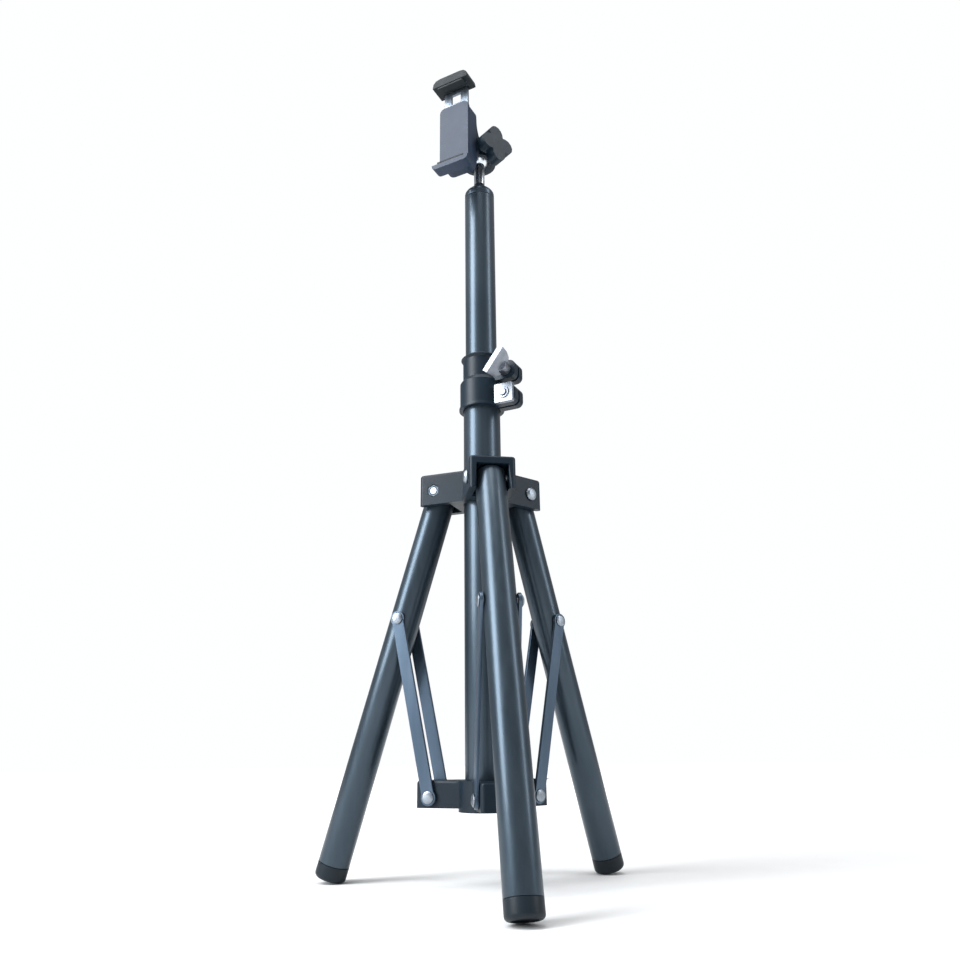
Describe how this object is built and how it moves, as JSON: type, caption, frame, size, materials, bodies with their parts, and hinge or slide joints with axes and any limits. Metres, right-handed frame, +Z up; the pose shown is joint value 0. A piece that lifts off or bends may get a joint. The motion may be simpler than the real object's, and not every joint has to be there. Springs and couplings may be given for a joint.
{
  "type": "phone tripod stand",
  "caption": "Folding phone stand: braced tube legs on a sliding hub, telescoping column with clamp collar, ball head and sprung phone clamp.",
  "frame": {"origin": "middle of the bounding box of the whole stand, on the floor", "axes": "+Z up along the column, -Y towards the front leg, the clamp faces -X -Y"},
  "size_m": [0.1974, 0.1738, 0.5613],
  "materials": {
    "tube_paint": "satin dark blue-grey paint",
    "hub_plastic": "fine moulded grain",
    "foot_rubber": "matt",
    "strut_paint": "satin",
    "zinc": "bright zinc plate",
    "chrome": "polished",
    "brass": "turned",
    "clamp_plastic": "fine moulded grain",
    "slide_metal": "brushed",
    "jaw_rubber": "matt ribbed",
    "spring_steel": "drawn wire"
  },
  "bodies": {
    "column": {"column_tube": "tube_paint", "column_end_plug": "hub_plastic", "lower_hub": "hub_plastic", "lower_hub_screw": "zinc", "column_collar": "hub_plastic", "collar_bolt": "zinc", "collar_square_nut": "zinc", "wing_lock_nut": "zinc"},
    "wing_lock": {"wing_lock_screw": "zinc", "wing_lock_knob": "chrome"},
    "upper_hub": {"upper_hub": "hub_plastic", "hub_lock_insert": "brass", "pivot_bolt_front": "zinc", "pivot_nut_front": "zinc", "pivot_bolt_right": "zinc", "pivot_nut_right": "zinc", "pivot_bolt_left": "zinc", "pivot_nut_left": "zinc"},
    "hub_lock": {"hub_lock_screw": "zinc", "hub_lock_knob": "hub_plastic"},
    "leg_front": {"leg_tube_front": "tube_paint", "leg_top_plug_front": "hub_plastic", "foot_cap_front": "foot_rubber"},
    "struts_front": {"strut_front_a": "strut_paint", "strut_front_b": "strut_paint", "strut_rivet_front_lower": "zinc", "strut_rivet_front_upper": "zinc"},
    "leg_right": {"leg_tube_right": "tube_paint", "leg_top_plug_right": "hub_plastic", "foot_cap_right": "foot_rubber"},
    "struts_right": {"strut_right_a": "strut_paint", "strut_right_b": "strut_paint", "strut_rivet_right_lower": "zinc", "strut_rivet_right_upper": "zinc"},
    "leg_left": {"leg_tube_left": "tube_paint", "leg_top_plug_left": "hub_plastic", "foot_cap_left": "foot_rubber"},
    "struts_left": {"strut_left_a": "strut_paint", "strut_left_b": "strut_paint", "strut_rivet_left_lower": "zinc", "strut_rivet_left_upper": "zinc"},
    "extension_guide": {"extension_guide": "hub_plastic"},
    "extension": {"extension_tube": "tube_paint"},
    "ball_stem": {"ball_stem": "chrome"},
    "ball_head": {"ball_housing": "hub_plastic", "ball_brake_shoe": "brass", "camera_screw": "zinc"},
    "ball_lock": {"ball_lock_screw": "zinc", "ball_lock_knob": "hub_plastic"},
    "clamp": {"clamp_back": "clamp_plastic", "clamp_front": "clamp_plastic", "clamp_screw_left": "zinc", "clamp_screw_right": "zinc", "jaw_spring_left": "spring_steel", "jaw_spring_right": "spring_steel", "lower_jaw_pad": "jaw_rubber"},
    "jaw": {"slide_plate": "slide_metal", "upper_jaw": "jaw_rubber", "upper_jaw_pad": "jaw_rubber"}
  },
  "joints": [
    {"name": "hub_slide", "type": "slide", "parent": "column", "child": "upper_hub", "axis": [0, 0, 1], "range_m": [0, 0.00531]},
    {"name": "leg_front_fold", "type": "hinge", "parent": "upper_hub", "child": "leg_front", "pos_m": [0, -0.00387, 0.24023], "axis": [1, 0, 0], "range_deg": [0, 10]},
    {"name": "struts_front_swing", "type": "hinge", "parent": "column", "child": "struts_front", "pos_m": [0, -0.00687, 0.05023], "axis": [-1, 0, 0], "range_deg": [0, 7.77]},
    {"name": "leg_right_fold", "type": "hinge", "parent": "upper_hub", "child": "leg_right", "pos_m": [0.02555, 0.04038, 0.24023], "axis": [-0.5, 0.866, 0], "range_deg": [0, 10.01]},
    {"name": "struts_right_swing", "type": "hinge", "parent": "column", "child": "struts_right", "pos_m": [0.02815, 0.04188, 0.05023], "axis": [0.5, -0.866, 0], "range_deg": [0, 7.77]},
    {"name": "leg_left_fold", "type": "hinge", "parent": "upper_hub", "child": "leg_left", "pos_m": [-0.02555, 0.04038, 0.24023], "axis": [-0.5, -0.866, 0], "range_deg": [0, 10.01]},
    {"name": "struts_left_swing", "type": "hinge", "parent": "column", "child": "struts_left", "pos_m": [-0.02815, 0.04188, 0.05023], "axis": [0.5, 0.866, 0], "range_deg": [0, 7.77]},
    {"name": "hub_lock_turn", "type": "hinge", "parent": "upper_hub", "child": "hub_lock", "pos_m": [0, 0.02563, 0.24023], "axis": [0.1564, 0.9877, 0], "continuous": true},
    {"name": "wing_lock_turn", "type": "hinge", "parent": "column", "child": "wing_lock", "pos_m": [0.01693, 0.01333, 0.32203], "axis": [-0.5878, -0.809, 0], "continuous": true},
    {"name": "extension_slide", "type": "slide", "parent": "column", "child": "extension_guide", "axis": [0, 0, 1], "range_m": [-0.125, 0.06]},
    {"name": "extension_turn", "type": "hinge", "parent": "extension_guide", "child": "extension", "pos_m": [0, 0.02563, 0.25], "axis": [0, 0, 1], "continuous": true},
    {"name": "head_pan", "type": "hinge", "parent": "extension", "child": "ball_stem", "pos_m": [0, 0.02563, 0.50733], "axis": [0, 0, 1], "continuous": true},
    {"name": "head_tilt", "type": "hinge", "parent": "ball_stem", "child": "ball_head", "pos_m": [0, 0.02563, 0.50733], "axis": [0.7934, -0.6088, 0], "range_deg": [-26, 20]},
    {"name": "ball_lock_turn", "type": "hinge", "parent": "ball_head", "child": "ball_lock", "pos_m": [0, 0.02563, 0.50733], "axis": [0.5075, -0.8616, 0], "continuous": true},
    {"name": "clamp_turn", "type": "hinge", "parent": "ball_head", "child": "clamp", "pos_m": [0, 0.02563, 0.50733], "axis": [-0.6088, -0.7934, 0], "range_deg": [-12, 12]},
    {"name": "jaw_slide", "type": "slide", "parent": "clamp", "child": "jaw", "axis": [0, 0, 1], "range_m": [-0.006, 0.018], "deforming": ["jaw_spring_left", "jaw_spring_right"]}
  ],
  "couplings": [
    {"joint": "struts_front_swing", "follows": "leg_front_fold", "ratio": 0.7753},
    {"joint": "leg_right_fold", "follows": "leg_front_fold", "ratio": 1},
    {"joint": "struts_right_swing", "follows": "leg_front_fold", "ratio": 0.7753},
    {"joint": "leg_left_fold", "follows": "leg_front_fold", "ratio": 1},
    {"joint": "struts_left_swing", "follows": "leg_front_fold", "ratio": 0.7753},
    {"joint": "hub_slide", "follows": "leg_front_fold", "m_per_rad": 0.030395}
  ]
}
